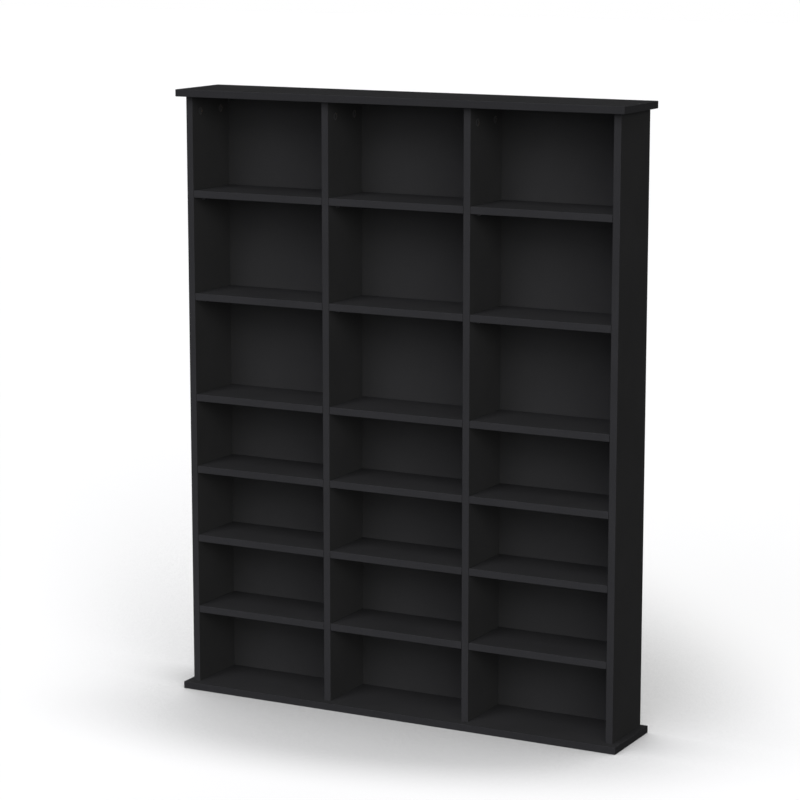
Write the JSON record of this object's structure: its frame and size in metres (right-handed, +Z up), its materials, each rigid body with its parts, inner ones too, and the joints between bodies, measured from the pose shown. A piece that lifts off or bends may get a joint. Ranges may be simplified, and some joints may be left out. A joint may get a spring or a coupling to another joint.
{
  "type": "media storage cabinet",
  "caption": "Open-fronted black media cabinet with columns of loose shelves for disc cases, between an overhanging top and base board.",
  "frame": {"origin": "on the floor, under the middle of the base board", "axes": "+Z up, front towards -Y, +X to the right seen from the front"},
  "size_m": [1.016, 0.169, 1.295],
  "materials": {
    "black_board": "matt black laminate on chipboard",
    "back_sheet": "hardboard, matt black foil inside, raw outside",
    "black_plastic": "moulded, matt",
    "black_zinc": "die-cast zinc, blackened, dull",
    "zinc_steel": "zinc plated",
    "nail_steel": "bright drawn wire",
    "beech": "raw beech"
  },
  "bodies": {
    "carcass": {"top_board": "black_board", "base_board": "black_board", "left_side": "black_board", "left_divider": "black_board", "right_divider": "black_board", "right_side": "black_board", "back_panel_left": "back_sheet", "back_panel_middle": "back_sheet", "back_panel_right": "back_sheet", "cam_locks": "black_zinc", "cam_bolts": "zinc_steel", "top_dowels": "beech", "base_dowels": "beech", "base_screws": "zinc_steel", "back_nails": "nail_steel", "shelf_supports_left": "black_plastic", "shelf_supports_middle": "black_plastic", "shelf_supports_right": "black_plastic"},
    "shelf_left_1": {"shelf_left_1": "black_board"},
    "shelf_left_2": {"shelf_left_2": "black_board"},
    "shelf_left_3": {"shelf_left_3": "black_board"},
    "shelf_left_4": {"shelf_left_4": "black_board"},
    "shelf_left_5": {"shelf_left_5": "black_board"},
    "shelf_left_6": {"shelf_left_6": "black_board"},
    "shelf_middle_1": {"shelf_middle_1": "black_board"},
    "shelf_middle_2": {"shelf_middle_2": "black_board"},
    "shelf_middle_3": {"shelf_middle_3": "black_board"},
    "shelf_middle_4": {"shelf_middle_4": "black_board"},
    "shelf_middle_5": {"shelf_middle_5": "black_board"},
    "shelf_middle_6": {"shelf_middle_6": "black_board"},
    "shelf_right_1": {"shelf_right_1": "black_board"},
    "shelf_right_2": {"shelf_right_2": "black_board"},
    "shelf_right_3": {"shelf_right_3": "black_board"},
    "shelf_right_4": {"shelf_right_4": "black_board"},
    "shelf_right_5": {"shelf_right_5": "black_board"},
    "shelf_right_6": {"shelf_right_6": "black_board"}
  },
  "joints": [
    {"name": "shelf_left_1_slide", "type": "slide", "parent": "carcass", "child": "shelf_left_1", "axis": [0, -1, 0], "range_m": [0, 0.165]},
    {"name": "shelf_left_2_slide", "type": "slide", "parent": "carcass", "child": "shelf_left_2", "axis": [0, -1, 0], "range_m": [0, 0.165]},
    {"name": "shelf_left_3_slide", "type": "slide", "parent": "carcass", "child": "shelf_left_3", "axis": [0, -1, 0], "range_m": [0, 0.165]},
    {"name": "shelf_left_4_slide", "type": "slide", "parent": "carcass", "child": "shelf_left_4", "axis": [0, -1, 0], "range_m": [0, 0.165]},
    {"name": "shelf_left_5_slide", "type": "slide", "parent": "carcass", "child": "shelf_left_5", "axis": [0, -1, 0], "range_m": [0, 0.165]},
    {"name": "shelf_left_6_slide", "type": "slide", "parent": "carcass", "child": "shelf_left_6", "axis": [0, -1, 0], "range_m": [0, 0.165]},
    {"name": "shelf_middle_1_slide", "type": "slide", "parent": "carcass", "child": "shelf_middle_1", "axis": [0, -1, 0], "range_m": [0, 0.165]},
    {"name": "shelf_middle_2_slide", "type": "slide", "parent": "carcass", "child": "shelf_middle_2", "axis": [0, -1, 0], "range_m": [0, 0.165]},
    {"name": "shelf_middle_3_slide", "type": "slide", "parent": "carcass", "child": "shelf_middle_3", "axis": [0, -1, 0], "range_m": [0, 0.165]},
    {"name": "shelf_middle_4_slide", "type": "slide", "parent": "carcass", "child": "shelf_middle_4", "axis": [0, -1, 0], "range_m": [0, 0.165]},
    {"name": "shelf_middle_5_slide", "type": "slide", "parent": "carcass", "child": "shelf_middle_5", "axis": [0, -1, 0], "range_m": [0, 0.165]},
    {"name": "shelf_middle_6_slide", "type": "slide", "parent": "carcass", "child": "shelf_middle_6", "axis": [0, -1, 0], "range_m": [0, 0.165]},
    {"name": "shelf_right_1_slide", "type": "slide", "parent": "carcass", "child": "shelf_right_1", "axis": [0, -1, 0], "range_m": [0, 0.165]},
    {"name": "shelf_right_2_slide", "type": "slide", "parent": "carcass", "child": "shelf_right_2", "axis": [0, -1, 0], "range_m": [0, 0.165]},
    {"name": "shelf_right_3_slide", "type": "slide", "parent": "carcass", "child": "shelf_right_3", "axis": [0, -1, 0], "range_m": [0, 0.165]},
    {"name": "shelf_right_4_slide", "type": "slide", "parent": "carcass", "child": "shelf_right_4", "axis": [0, -1, 0], "range_m": [0, 0.165]},
    {"name": "shelf_right_5_slide", "type": "slide", "parent": "carcass", "child": "shelf_right_5", "axis": [0, -1, 0], "range_m": [0, 0.165]},
    {"name": "shelf_right_6_slide", "type": "slide", "parent": "carcass", "child": "shelf_right_6", "axis": [0, -1, 0], "range_m": [0, 0.165]}
  ]
}
